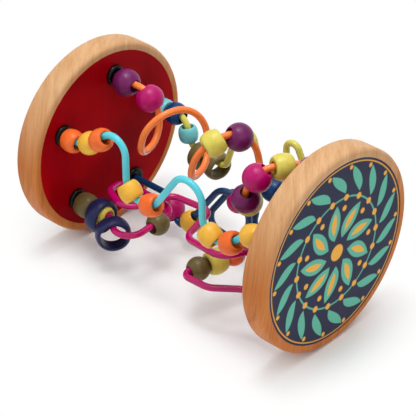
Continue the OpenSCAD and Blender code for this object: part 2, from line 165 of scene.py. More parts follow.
class Weave:
    """Lays out the shader nodes of a material or a world and links them."""

    MIX_SHARE, MIX_FIRST, MIX_SECOND, MIX_RESULT = 0, 6, 7, 2

    def __init__(self, owner: Union[Finish, bpy.types.World]) -> None:
        """Starts from an empty node tree.

        Args:
            owner: The material or world.
        """
        owner.use_nodes = True
        self.owner = owner
        self.tree = owner.node_tree
        self.tree.nodes.clear()

    def add(self, kind: str, inputs: Optional[Inputs] = None, **values: object) -> bpy.types.Node:
        """Adds a node.

        Args:
            kind: The node's type name.
            inputs: What its inputs take, each a socket, a number or a colour.
            **values: Properties of the node.

        Returns:
            The new node.
        """
        node = self.tree.nodes.new(kind)
        for key, value in values.items():
            setattr(node, key, value)
        for key, value in (inputs or {}).items():
            if isinstance(value, Socket):
                self.tree.links.new(value, node.inputs[key])
            else:
                node.inputs[key].default_value = value
        return node

    def math(self, operation: str, first: object, second: object = 0.0, clamp: bool = False) -> Socket:
        """Returns what an operation makes of two sockets or numbers, held from 0 to 1 where clamped."""
        node = self.add("ShaderNodeMath", {0: first, 1: second}, operation=operation, use_clamp=clamp)
        return node.outputs[0]

    def length(self, first: Socket, second: Socket) -> Socket:
        """Returns the length of a vector of two parts."""
        squares = [self.math("MULTIPLY", part, part) for part in (first, second)]
        return self.math("SQRT", self.math("ADD", *squares))

    def coords(self) -> Socket:
        """Returns the object coordinates."""
        return self.add("ShaderNodeTexCoord").outputs["Object"]

    def parts(self, vector: Socket) -> bpy.types.bpy_prop_collection:
        """Returns the X, Y and Z of a vector."""
        return self.add("ShaderNodeSeparateXYZ", {0: vector}).outputs

    def attribute(self, name: str, part: str) -> Socket:
        """Returns a part of a named attribute of the mesh."""
        return self.add("ShaderNodeAttribute", attribute_name=name).outputs[part]

    def mapped(self, vector: Socket, scale: Triple = (1, 1, 1), turn: Triple = (0, 0, 0),
               shift: Triple = (0, 0, 0)) -> Socket:
        """Returns coordinates that are scaled, turned by degrees and shifted."""
        angles = [math.radians(angle) for angle in turn]
        return self.add("ShaderNodeMapping", {
            "Vector": vector, "Scale": scale, "Rotation": angles, "Location": shift}).outputs[0]

    def noises(self, vector: Socket, *grains: Grain) -> List[Socket]:
        """Adds noise textures.

        Args:
            vector: The coordinates.
            *grains: The patterns.

        Returns:
            The noise values.
        """
        values = []
        for grain in grains:
            plain = grain.stretch == (1, 1, 1)
            place = vector if plain else self.mapped(vector, grain.stretch, grain.turn)
            values.append(self.add("ShaderNodeTexNoise", {
                "Vector": place, "Scale": grain.scale, "Detail": grain.detail,
                "Roughness": grain.rough, "Distortion": grain.twist}).outputs["Fac"])
        return values

    def ramp(self, value: Socket, stops: Sequence[Tuple[float, Shade]]) -> Socket:
        """Adds a colour ramp.

        Args:
            value: The ramp's input.
            stops: Pairs of place and colour.

        Returns:
            The ramp's colour.
        """
        node = self.add("ShaderNodeValToRGB", {"Fac": value})
        points = node.color_ramp.elements
        while len(points) < len(stops):
            points.new(0.5)
        for point, (place, shade) in zip(points, stops):
            point.position = place
            point.color = linear(shade)
        return node.outputs["Color"]

    def mix(self, share: Socket, first: object, second: object) -> Socket:
        """Returns a mix of two colours or sockets, with the share of the second."""
        node = self.add("ShaderNodeMix", {
            self.MIX_SHARE: share, self.MIX_FIRST: first, self.MIX_SECOND: second}, data_type="RGBA")
        return node.outputs[self.MIX_RESULT]

    def blend(self, share: Socket, first: bpy.types.Node, second: bpy.types.Node) -> bpy.types.Node:
        """Mixes two shaders."""
        return self.add("ShaderNodeMixShader", {0: share, 1: first.outputs[0], 2: second.outputs[0]})

    def span(self, value: Socket, source: Range, target: Range = (0.0, 1.0)) -> Socket:
        """Returns a value mapped from one range to another, held at its ends."""
        return self.add("ShaderNodeMapRange", {
            "Value": value, "From Min": source[0], "From Max": source[1],
            "To Min": target[0], "To Max": target[1]}).outputs["Result"]

    def bump(self, height: Socket, depth: float, strength: float, under: Optional[Socket] = None) -> Socket:
        """Adds a bump node.

        Args:
            height: The height value.
            depth: Its depth in millimetres.
            strength: Its strength.
            under: A normal that it is laid on.

        Returns:
            The new normal.
        """
        inputs = {"Height": height, "Distance": depth * MM, "Strength": strength}
        if under is not None:
            inputs["Normal"] = under
        return self.add("ShaderNodeBump", inputs).outputs["Normal"]

    def show(self, surface: bpy.types.Node, kind: str = "ShaderNodeOutputMaterial") -> None:
        """Joins a shader to the output of the tree."""
        self.add(kind, {"Surface": surface.outputs[0]})

    def finish(self, color: Socket, rough: Socket, normal: Socket, specular: float,
               coat: float = 0.0, coat_rough: float = 0.1) -> Finish:
        """Returns the material, its principled shader joined to these values and shown."""
        self.show(self.add("ShaderNodeBsdfPrincipled", {
            "Base Color": color, "Roughness": rough, "Normal": normal, "Specular IOR Level": specular,
            "Coat Weight": coat, "Coat Roughness": coat_rough}))
        return self.owner


@dataclass(frozen=True)
class BeechFinish:
    """Varnished beech with long grain and fine pores, painted paler at the top as painted light and deeper
    lower down as painted shade.
    """

    # Painted light and shade: the paler tones colour the lit top of the disc, the deeper ones its shaded
    # lower part.
    lit_top_tones: Tuple[Shade, ...] = ((214, 172, 128), (205, 159, 114), (190, 140, 94))
    shaded_low_tones: Tuple[Shade, ...] = ((206, 130, 68), (195, 116, 56), (174, 94, 42))
    tones: Triple = (0.34, 0.5, 0.68)
    pore_shade: Shade = (132, 76, 40)
    grain_turn: Triple = (8.0, 0.0, -43.0)
    bands: Grain = Grain(170, 3, 0.55, 0.3, (1, 0.2, 0.05))
    fibres: Grain = Grain(800, 3, 0.6, 0.0, (1, 0.1, 0.02))
    pores: Grain = Grain(1600, 2, 0.6, 0.0, (1, 0.2, 0.035))
    waver: Grain = Grain(25, 2)
    waver_depth: float = 20 * MM
    shade_top: float = 92 * MM
    lit_bottom: float = 142 * MM
    rough: Range = (0.42, 0.54)
    specular: float = 0.12

    def material(self, name: str, shift: float) -> Finish:
        """Builds the wood.

        Args:
            name: The material's name.
            shift: Where in the board this piece was cut.

        Returns:
            The material.
        """
        w = Weave(bpy.data.materials.new(name))
        place = w.mapped(w.coords(), turn=self.grain_turn, shift=(shift, 0.3 * shift, 0))
        bands, fibres, pores, waver = w.noises(place, self.bands, self.fibres, self.pores, self.waver)
        tone = w.math("ADD", w.math("MULTIPLY", bands, 0.5), w.math("MULTIPLY", fibres, 0.5), True)
        shaded_low, lit_top = (w.ramp(tone, list(zip(self.tones, shades)))
                      for shades in (self.shaded_low_tones, self.lit_top_tones))
        # Painted light and shade by height: deeper shaded tones below, paler lit tones towards the top of
        # the disc.
        height = w.math("ADD", w.parts(w.coords())["Z"], w.math("MULTIPLY", waver, self.waver_depth))
        color = w.mix(w.span(height, (self.shade_top, self.lit_bottom)), shaded_low, lit_top)
        color = w.mix(w.span(pores, (0.60, 0.78), (0.0, 0.24)), color, linear(self.pore_shade))
        rough = w.span(pores, (0.3, 0.75), self.rough)
        normal = w.bump(tone, 0.05, 0.25, w.bump(pores, 0.04, 0.3))
        return w.finish(color, rough, normal, self.specular)


@dataclass(frozen=True)
class PaintFinish:
    """Satin paint on turned wood, a little uneven, rubbed at the edges of the bore."""

    color: Shade
    deep: Shade
    rubbed: Shade
    mottle: float = 0.5
    clouds: Grain = Grain(140, 3, 0.55)
    grain: Grain = Grain(900, 3, 0.6, 0.0, (1, 1, 0.16), (0, 68, 20))
    scuffs: Grain = Grain(520, 2, 0.6)
    skin: Grain = Grain(1500, 2)
    rough: Range = (0.27, 0.39)
    specular: float = 0.2
    coat: float = 0.06
    coat_rough: float = 0.16

    def material(self, name: str) -> Finish:
        """Builds the paint, laid out on the bead's own turned coordinates.

        Args:
            name: The material's name.

        Returns:
            The material.
        """
        w = Weave(bpy.data.materials.new(name))
        own = w.attribute("turned", "Vector")
        clouds, grain, scuffs, skin = w.noises(own, self.clouds, self.grain, self.scuffs, self.skin)
        deep = linear(self.deep)
        color = w.mix(w.span(clouds, (0.32, 0.72), (0.0, self.mottle)), linear(self.color), deep)
        color = w.mix(w.span(grain, (0.50, 0.78), (0.0, 0.35 * self.mottle + 0.08)), color, deep)
        worn = w.math("MULTIPLY", w.attribute("rub", "Fac"), w.span(scuffs, (0.42, 0.62), (0.0, 0.2)), True)
        color = w.mix(worn, color, linear(self.rubbed))
        rough = w.math("ADD", w.span(clouds, (0.3, 0.7), self.rough), w.math("MULTIPLY", worn, 0.2))
        normal = w.bump(grain, 0.07, 0.45, w.bump(skin, 0.04, 0.3))
        return w.finish(color, rough, normal, self.specular, self.coat, self.coat_rough)


@dataclass(frozen=True)
class CoatingFinish:
    """Glossy dip coating on steel wire, slightly thick and thin."""

    color: Shade
    deep: Shade
    flow: Grain = Grain(60, 2)
    waves: Grain = Grain(240, 2)
    fine: Grain = Grain(900, 3, 0.6)
    rough: Range = (0.19, 0.26)
    specular: float = 0.34

    def material(self, name: str) -> Finish:
        """Builds the coating.

        Args:
            name: The material's name.

        Returns:
            The material.
        """
        w = Weave(bpy.data.materials.new(name))
        flow, waves, fine = w.noises(w.coords(), self.flow, self.waves, self.fine)
        color = w.mix(w.span(flow, (0.35, 0.7), (0.0, 0.5)), linear(self.color), linear(self.deep))
        rough = w.span(fine, (0.3, 0.7), self.rough)
        normal = w.bump(fine, 0.02, 0.1, w.bump(waves, 0.05, 0.1))
        return w.finish(color, rough, normal, self.specular)


@dataclass(frozen=True)
class RedPanelFinish:
    """Deep red lacquer on a thin board, the wood just telling through."""

    bright: Shade = (180, 6, 18)
    deep: Shade = (138, 0, 12)
    dark: Shade = (84, 0, 10)
    clouds: Grain = Grain(14, 3, 0.5, 0.4)
    grain: Grain = Grain(420, 3, 0.6, 0.0, (1, 1, 0.06))
    skin: Grain = Grain(1600, 2)
    rough: Range = (0.36, 0.46)
    specular: float = 0.025

    def material(self, name: str) -> Finish:
        """Builds the lacquer.

        Args:
            name: The material's name.

        Returns:
            The material.
        """
        w = Weave(bpy.data.materials.new(name))
        clouds, grain, skin = w.noises(w.coords(), self.clouds, self.grain, self.skin)
        color = w.mix(w.span(clouds, (0.36, 0.66)), linear(self.deep), linear(self.bright))
        color = w.mix(w.span(grain, (0.5, 0.8), (0.0, 0.25)), color, linear(self.dark))
        rough = w.span(clouds, (0.3, 0.7), self.rough)
        normal = w.bump(skin, 0.02, 0.25, w.bump(grain, 0.05, 0.3))
        return w.finish(color, rough, normal, self.specular)


class Polar:
    """Radius and angle round the middle of a panel, on which a print is laid out, in metres."""

    EDGE = 0.4 * MM

    def __init__(self, weave: Weave, place: Socket) -> None:
        """Works out the radius and the angle of each place on the panel.

        Args:
            weave: The nodes of the print.
            place: Coordinates from the panel's middle.
        """
        self.weave = weave
        parts = weave.parts(place)
        self.radius = weave.length(parts["Y"], parts["Z"])
        self.angle = weave.math("ARCTAN2", parts["Z"], parts["Y"])

    def past(self, radius: float) -> Socket:
        """Returns how far a place lies outside a circle."""
        return self.weave.math("SUBTRACT", self.radius, radius)

    def sector(self, angle: Socket, count: int) -> Socket:
        """Returns the angle from the middle line of the sector that a place is in."""
        step = 2 * math.pi / count
        return self.weave.math("SUBTRACT", self.weave.math("FLOORED_MODULO", angle, step), step / 2)

    def inked(self, distance: Socket, size: Union[Socket, float]) -> Socket:
        """Masks all places nearer than a size, with a crisp edge."""
        gap = self.weave.math("SUBTRACT", distance, size)
        return self.weave.span(gap, (-self.EDGE, self.EDGE), (1.0, 0.0))


@dataclass(frozen=True)
class Petals:
    """A ring of pointed petals: half their length and width, and how they lean per metre."""

    count: int
    radius: float
    long: float
    wide: float
    lean: float

    def mask(self, polar: Polar) -> Socket:
        """Masks the petals.

        Args:
            polar: The panel's layout.

        Returns:
            The mask.
        """
        calc = polar.weave.math
        past = polar.past(self.radius)
        turned = calc("ADD", polar.angle, calc("MULTIPLY", past, self.lean))
        across = calc("MULTIPLY", calc("ABSOLUTE", polar.sector(turned, self.count)), polar.radius)
        along = calc("DIVIDE", calc("ABSOLUTE", past), self.long)
        half = calc("MULTIPLY", calc("SUBTRACT", 1.0, calc("MULTIPLY", along, along)), self.wide)
        return polar.inked(across, half)


@dataclass(frozen=True)
class Dots:
    """A ring of round dots: their number, the ring's radius, their own and the ring's turn."""

    count: int
    radius: float
    size: float
    turn: float = 0.0

    def mask(self, polar: Polar) -> Socket:
        """Masks the dots.

        Args:
            polar: The panel's layout.

        Returns:
            The mask.
        """
        calc = polar.weave.math
        local = polar.sector(calc("ADD", polar.angle, self.turn), self.count)
        away = polar.weave.length(calc("MULTIPLY", local, self.radius), polar.past(self.radius))
        return polar.inked(away, self.size)


@dataclass(frozen=True)
class CircleLine:
    """A thin line round the panel, with half its width."""

    radius: float
    half: float

    def mask(self, polar: Polar) -> Socket:
        """Masks the line."""
        return polar.inked(polar.weave.math("ABSOLUTE", polar.past(self.radius)), self.half)


@dataclass(frozen=True)
class PrintedPanelFinish:
    """Dark blue print with a plain rosette of teal petals and amber dots."""

    ground: Shade = (48, 52, 76)
    faded: Shade = (62, 62, 78)
    teal: Shade = (104, 188, 164)
    amber: Shade = (246, 180, 76)
    teal_marks: Tuple[object, ...] = (
        Petals(9, 0.0245, 0.0135, 0.0062, 9.0), Petals(18, 0.0545, 0.0095, 0.0048, -14.0),
        CircleLine(0.0415, 0.0006))
    amber_marks: Tuple[object, ...] = (
        Petals(9, 0.0245, 0.0085, 0.0026, 9.0), Dots(18, 0.0415, 0.0024, 0.1745), Dots(1, 0.0, 0.0062),
        Dots(9, 0.0335, 0.0021, 0.349), Dots(18, 0.0635, 0.0017, 0.1745), CircleLine(0.0665, 0.0004))
    centre_z: float = 75 * MM
    fading: Grain = Grain(30, 3)
    wear: Grain = Grain(700, 3, 0.6)
    board: Grain = Grain(520, 3, 0.6, 0.0, (1, 1, 0.08))
    rough: Range = (0.42, 0.52)
    specular: float = 0.06

    def material(self, name: str) -> Finish:
        """Builds the print on polar coordinates round the disc's middle.

        Args:
            name: The material's name.

        Returns:
            The material.
        """
        w = Weave(bpy.data.materials.new(name))
        place = w.mapped(w.coords(), shift=(0, 0, -self.centre_z))
        fading, wear, board = w.noises(place, self.fading, self.wear, self.board)
        polar = Polar(w, place)
        color = w.mix(w.span(fading, (0.35, 0.7), (0.0, 0.5)), linear(self.ground), linear(self.faded))
        cover_share = w.span(wear, (0.2, 0.5), (0.86, 1.0))
        for ink, marks in ((self.teal, self.teal_marks), (self.amber, self.amber_marks)):
            for mark in marks:
                color = w.mix(w.math("MULTIPLY", mark.mask(polar), cover_share), color, linear(ink))
        rough = w.span(wear, (0.3, 0.7), self.rough)
        return w.finish(color, rough, w.bump(board, 0.04, 0.3), self.specular)


@dataclass(frozen=True)
class CollarFinish:
    """Glossy black moulded plastic with faint flow marks."""

    color: Shade = (5, 4, 5)
    pale: Shade = (12, 10, 11)
    flow: Grain = Grain(180, 3, 0.5, 0.5)
    skin: Grain = Grain(800, 3)
    rough: Range = (0.14, 0.22)
    specular: float = 0.14

    def material(self, name: str) -> Finish:
        """Builds the plastic.

        Args:
            name: The material's name.

        Returns:
            The material.
        """
        w = Weave(bpy.data.materials.new(name))
        flow, skin = w.noises(w.coords(), self.flow, self.skin)
        color = w.mix(w.span(flow, (0.4, 0.7), (0.0, 0.6)), linear(self.color), linear(self.pale))
        rough = w.span(skin, (0.3, 0.7), self.rough)
        return w.finish(color, rough, w.bump(flow, 0.06, 0.25), self.specular)


class BeadPaint(Enum):
    """The paints of the beads and rings."""

    PURPLE = PaintFinish((112, 26, 92), (82, 14, 64), (146, 90, 128))
    MAGENTA = PaintFinish((184, 10, 106), (154, 4, 84), (206, 100, 158))
    LIME = PaintFinish((222, 209, 98), (198, 182, 66), (234, 224, 150), mottle=0.7)
    ORANGE = PaintFinish((240, 112, 46), (214, 84, 28), (244, 160, 108))
    MUSTARD = PaintFinish((238, 184, 68), (214, 154, 42), (246, 210, 132))
    OLIVE = PaintFinish((112, 98, 56), (84, 72, 38), (150, 136, 92), mottle=0.65)
    YELLOW = PaintFinish((218, 198, 84), (192, 168, 54), (232, 218, 140))
    NAVY = PaintFinish((30, 36, 84), (18, 22, 58), (74, 80, 120))
    AQUA = PaintFinish((120, 206, 212), (90, 182, 192), (166, 218, 224))
    BLUE = PaintFinish((4, 58, 114), (2, 38, 80), (60, 104, 150))


class WireCoating(Enum):
    """The coatings of the five wires."""

    ORANGE = CoatingFinish((246, 130, 58), (234, 108, 40))
    AQUA = CoatingFinish((92, 210, 222), (66, 188, 206))
    MAGENTA = CoatingFinish((190, 4, 104), (160, 0, 82))
    BLUE = CoatingFinish((4, 62, 108), (2, 44, 80))
    LIME = CoatingFinish((220, 214, 98), (200, 190, 70))


class Turning:
    """Turns profiles into closed meshes round a local Z axis and sets them in place."""

    STEPS = 72
    MERGE = 1e-7
    SHARP = 42
    PATTERN_STEP = 0.013

    @classmethod
    def lathe(cls, profile: Profile) -> bmesh.types.BMesh:
        """Spins a section of radius and height, closed by itself or by the axis.

        Args:
            profile: Points round the section, in order, in millimetres.

        Returns:
            A bmesh of the turned piece in metres.
        """
        bm = bmesh.new()
        points = [bm.verts.new((r * MM, 0, z * MM)) for r, z in profile]
        on_axis = profile[0][0] == 0 and profile[-1][0] == 0
        ends = points[1:] if on_axis else points[1:] + points[:1]
        edges = [bm.edges.new((a, b)) for a, b in zip(points, ends)]
        bmesh.ops.spin(bm, geom=points + edges, cent=(0, 0, 0), axis=(0, 0, 1), angle=2 * math.pi,
                       steps=cls.STEPS, use_merge=True)
        bmesh.ops.remove_doubles(bm, verts=bm.verts, dist=cls.MERGE)
        bmesh.ops.recalc_face_normals(bm, faces=bm.faces)
        return bm

    @staticmethod
    def arc(radius: float, centre: Range, start: float, end: float, count: int) -> Profile:
        """Returns points on an arc of the section, from one angle in degrees to another."""
        steps = [math.radians(start + (end - start) * i / (count - 1)) for i in range(count)]
        return [(centre[0] + radius * math.cos(a), centre[1] + radius * math.sin(a)) for a in steps]

    @staticmethod
    def frame(centre: Vector, axis: Vector) -> Matrix:
        """Returns the matrix that stands a local Z along an axis at a centre."""
        return Matrix.Translation(centre) @ axis.to_track_quat("Z", "Y").to_matrix().to_4x4()

    @classmethod
    def settle(cls, bm: bmesh.types.BMesh, name: str, place: Matrix, material: Finish,
               rub: Optional[Callable[[Vector], float]] = None) -> Piece:
        """Writes the bmesh to an object, keeps its turned coordinates and moves it to its place.

        Args:
            bm: The turned piece in local coordinates.
            name: The object's name, which also picks its own part of the patterns.
            place: Where it goes.
            material: Its finish.
            rub: How worn a local point is, from 0 to 1.

        Returns:
            The new object, at the origin, with its place in its mesh.
        """
        mesh = bpy.data.meshes.new(name)
        own = bm.verts.layers.float_vector.new("turned")
        worn = bm.verts.layers.float.new("rub")
        mark = sum(map(ord, name))
        offset = Vector((mark % 97, len(name), mark % 31)) * cls.PATTERN_STEP
        for vert in bm.verts:
            vert[own] = vert.co + offset
            vert[worn] = rub(vert.co) if rub else 0.0
        bmesh.ops.transform(bm, matrix=place, verts=bm.verts)
        for face in bm.faces:
            face.smooth = True
        bm.to_mesh(mesh)
        bm.free()
        mesh.set_sharp_from_angle(angle=math.radians(cls.SHARP))
        mesh.materials.append(material)
        return put(name, mesh)


@dataclass(frozen=True)
class BeadShape:
    """Sizes of a turned bead in millimetres: a ball where length is 0, or else a barrel or ring."""

    SIDE_STEPS = 14
    ROUND_POINTS = 6
    BALL_POINTS = 22
    MOUTH = ((0.0, 1.6), (0.12, 0.9), (0.5, 0.42))
    MOUTH_DROP = 0.25
    MOUTH_TURN = 3.2
    SIDE_START = 1.1

    diameter: float
    length: float
    bore: float
    curve: float = 0.0
    lip: float = 0.7
    soften: float = 0.9

    def half(self) -> float:
        """Returns half the length along the bore."""
        return self.length / 2 or math.sqrt((self.diameter / 2) ** 2 - (self.bore / 2) ** 2)

    def barrel(self) -> Profile:
        """Gives a barrel's upper half: a rounded lip, the end and the bulging side.

        Returns:
            The points, from the bore to the middle.
        """
        half, lip, soften = self.half(), self.lip, self.soften
        side = [(self.diameter / 2 - self.curve + math.sqrt(self.curve ** 2 - z * z), z)
                for z in (half * (1 - i / self.SIDE_STEPS) for i in range(self.SIDE_STEPS + 1))]
        lean = math.degrees(math.asin(half / self.curve))
        points = Turning.arc(lip, (self.bore / 2 + lip, half - lip), 180, 90, self.ROUND_POINTS)
        points += Turning.arc(soften, (side[0][0] - soften, half - soften), 90, lean, self.ROUND_POINTS)
        return points + [p for p in side if p[1] < half - soften * self.SIDE_START]

    def ball(self) -> Profile:
        """Gives a ball's upper half: the bore's mouth and the round side.

        Returns:
            The points, from the bore to the middle.
        """
        half, lip, radius = self.half(), self.lip, self.diameter / 2
        start = math.degrees(math.asin((half - lip * self.MOUTH_DROP) / radius)) - self.MOUTH_TURN
        points = [(self.bore / 2 + out * lip, half - lip * down) for out, down in self.MOUTH]
        return points + Turning.arc(radius, (0, 0), start, 0, self.BALL_POINTS)

    def profile(self) -> Profile:
        """Returns the whole section, as radius and height."""
        upper = self.barrel() if self.length else self.ball()
        return upper + [(r, -z) for r, z in reversed(upper) if z > Turning.MERGE]


class Turned(Enum):
    """The bead shapes, with the sizes of the solids."""

    BIG_BALL = BeadShape(20.5, 0, 9)
    SMALL_BALL = BeadShape(17.5, 0, 9)
    BARREL = BeadShape(19, 14, 9, 14)
    AQUA_BARREL = BeadShape(17, 13, 9, 14)
    SLIM_BARREL = BeadShape(15, 12, 9, 14)
    SHORT_BARREL = BeadShape(15, 9, 9, 14)
    NAVY_RING = BeadShape(26.5, 11.5, 20, 13, soften=1.1)
    OLIVE_RING = BeadShape(22, 11.5, 15, 13, soften=1.1)


@dataclass
class Bead:
    """One bead or ring on its wire, with the reach of the wear at its bore in millimetres."""

    node: str
    shape: Turned
    paint: BeadPaint
    swing: float = 0.0
    rub_reach: float = 1.7

    def body(self) -> str:
        """Returns the name of the body that the bead rides on."""
        return self.node + "_body"

    def stance(self, joints: Sequence[Dict]) -> Matrix:
        """Works out the bead's place from its solid's box and its joint.

        Args:
            joints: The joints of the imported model.

        Returns:
            The matrix of the bead's middle and bore.
        """
        low, high = (Vector(corner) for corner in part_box(self.node))
        centre = (low + high) / 2
        joint = next(j for j in joints if j["child"] == self.body())
        axis = Vector(joint["axis"]).normalized()
        if joint["type"] == "hinge" and not joint.get("continuous"):
            axis = axis.cross(centre - Vector(joint["pos_m"])).normalized()
        if self.swing:
            up = (Vector((0, 0, 1)) - axis * axis.z).normalized()
            axis = Matrix.Rotation(math.radians(self.swing), 3, up) @ axis
        return Turning.frame(centre, axis)

    def build(self, joints: Sequence[Dict], finishes: Dict[BeadPaint, Finish]) -> Piece:
        """Turns the bead, paints it and hands it to its body.

        Args:
            joints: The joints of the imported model.
            finishes: The paints.

        Returns:
            The bead.
        """
        shape = self.shape.value
        bore, half = shape.bore / 2 * MM, shape.half() * MM

        def rub(point: Vector) -> float:
            """Wears the paint next to the bore's mouth."""
            away = math.hypot(math.hypot(point.x, point.y) - bore, abs(point.z) - half)
            return max(0.0, 1.0 - away / (self.rub_reach * MM))

        bm = Turning.lathe(shape.profile())
        obj = Turning.settle(bm, self.node + "_turned", self.stance(joints), finishes[self.paint], rub)
        return stand_in(obj, self.body(), self.node)


@dataclass
class BeadSet:
    """All beads and rings, wire by wire."""

    beads: List[Bead] = field(default_factory=lambda: [
        Bead("orange_purple_ball_1", Turned.BIG_BALL, BeadPaint.PURPLE),
        Bead("orange_magenta_ball_1", Turned.BIG_BALL, BeadPaint.MAGENTA),
        Bead("orange_lime_barrel_1", Turned.BARREL, BeadPaint.LIME),
        Bead("orange_purple_ball_2", Turned.BIG_BALL, BeadPaint.PURPLE),
        Bead("orange_lime_barrel_2", Turned.BARREL, BeadPaint.LIME),
        Bead("orange_purple_ball_3", Turned.BIG_BALL, BeadPaint.PURPLE),
        Bead("orange_magenta_ball_2", Turned.BIG_BALL, BeadPaint.MAGENTA),
        Bead("orange_lime_barrel_3", Turned.BARREL, BeadPaint.LIME),
        Bead("orange_purple_ball_4", Turned.SMALL_BALL, BeadPaint.PURPLE),
        *(Bead("aqua_%s_barrel_%d" % (paint.name.lower(), number), Turned.AQUA_BARREL, paint)
          for number in range(1, 5) for paint in (BeadPaint.ORANGE, BeadPaint.MUSTARD)),
        Bead("magenta_olive_barrel", Turned.BARREL, BeadPaint.OLIVE),
        Bead("magenta_yellow_barrel", Turned.SLIM_BARREL, BeadPaint.YELLOW),
        Bead("magenta_navy_ring_1", Turned.NAVY_RING, BeadPaint.NAVY),
        Bead("magenta_navy_ring_2", Turned.NAVY_RING, BeadPaint.NAVY),
        Bead("magenta_olive_ball_1", Turned.SMALL_BALL, BeadPaint.OLIVE),
        Bead("magenta_orange_ball", Turned.SMALL_BALL, BeadPaint.ORANGE),
        Bead("magenta_lime_barrel", Turned.BARREL, BeadPaint.LIME),
        Bead("magenta_olive_ball_2", Turned.SMALL_BALL, BeadPaint.OLIVE),
        Bead("blue_magenta_ball_1", Turned.BIG_BALL, BeadPaint.MAGENTA),
        Bead("blue_mustard_ball", Turned.SMALL_BALL, BeadPaint.MUSTARD),
        Bead("blue_magenta_ball_2", Turned.SMALL_BALL, BeadPaint.MAGENTA),
        Bead("lime_aqua_barrel_1", Turned.SHORT_BARREL, BeadPaint.AQUA),
        Bead("lime_navy_ball", Turned.SMALL_BALL, BeadPaint.BLUE),
        Bead("lime_aqua_barrel_2", Turned.SLIM_BARREL, BeadPaint.AQUA),
        Bead("lime_olive_ring_1", Turned.OLIVE_RING, BeadPaint.OLIVE),
        Bead("lime_olive_ring_2", Turned.OLIVE_RING, BeadPaint.OLIVE, swing=-15),
        Bead("lime_blue_barrel", Turned.BARREL, BeadPaint.BLUE),
    ])

    def build(self, joints: Sequence[Dict]) -> List[Piece]:
        """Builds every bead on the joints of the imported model."""
        finishes = {paint: paint.value.material("paint_" + paint.name.lower()) for paint in BeadPaint}
        return [bead.build(joints, finishes) for bead in self.beads]


@dataclass(frozen=True)
class CollarRing:
    """The circle of holes on which the wires enter the discs, in millimetres from the toy's axis."""

    radius: float = 51
    turn: float = 82
    face: float = 99

    def entry(self, coating: WireCoating, side: Side, x: float, bend: float) -> Corner:
        """Gives a corner of a wire in line with its hole.

        Args:
            coating: The wire.
            side: The disc that it enters.
            x: Distance from the toy's middle.
            bend: Radius of the bend there.

        Returns:
            The corner.
        """
        order = list(WireCoating)
        angle = math.radians(self.turn + order.index(coating) * 360 / len(order))
        return side.value * x, self.radius * math.cos(angle), self.radius * math.sin(angle), bend

    def route(self, coating: WireCoating, first: Range, last: Range,
              corners: Sequence[Corner]) -> List[Corner]:
        """Joins a wire's corners to its holes, with distance and bend of its first and last corner."""
        return [self.entry(coating, Side.LEFT, self.face, 0), self.entry(coating, Side.LEFT, *first),
                *corners,
                self.entry(coating, Side.RIGHT, *last), self.entry(coating, Side.RIGHT, self.face, 0)]


@dataclass(frozen=True)
class Corkscrew:
    """The orange wire's screw of rounded corners, in millimetres from the toy's middle."""

    radius: float = 20
    pitch: float = 49
    straight: float = 1.5
    start: Triple = (-77, -4, 33)
    per_turn: int = 4
    first: int = 1
    last: int = 11
    entry_bend: float = 16
    exit_bend: float = 18

    def corners(self) -> List[Corner]:
        """Works out the corners of the screw.

        Returns:
            The corners, each with its bend.
        """
        advance = self.pitch / self.per_turn
        edge = math.hypot(advance, 2 * self.radius)
        turn = math.acos((advance / edge) ** 2)
        bends = {self.first: self.entry_bend, self.last: self.exit_bend}
        usual = (edge - self.straight) / 2 / math.tan(turn / 2)
        reach = self.radius * math.sqrt(2)
        found = []
        for corner in range(self.first, self.last + 1):
            angle = 2 * math.pi / self.per_turn * (corner + 0.5)
            x, y, z = self.start
            found.append((x + self.pitch * angle / (2 * math.pi), y + reach * math.sin(angle),
                          z + reach * math.cos(angle), bends.get(corner, usual)))
        return found


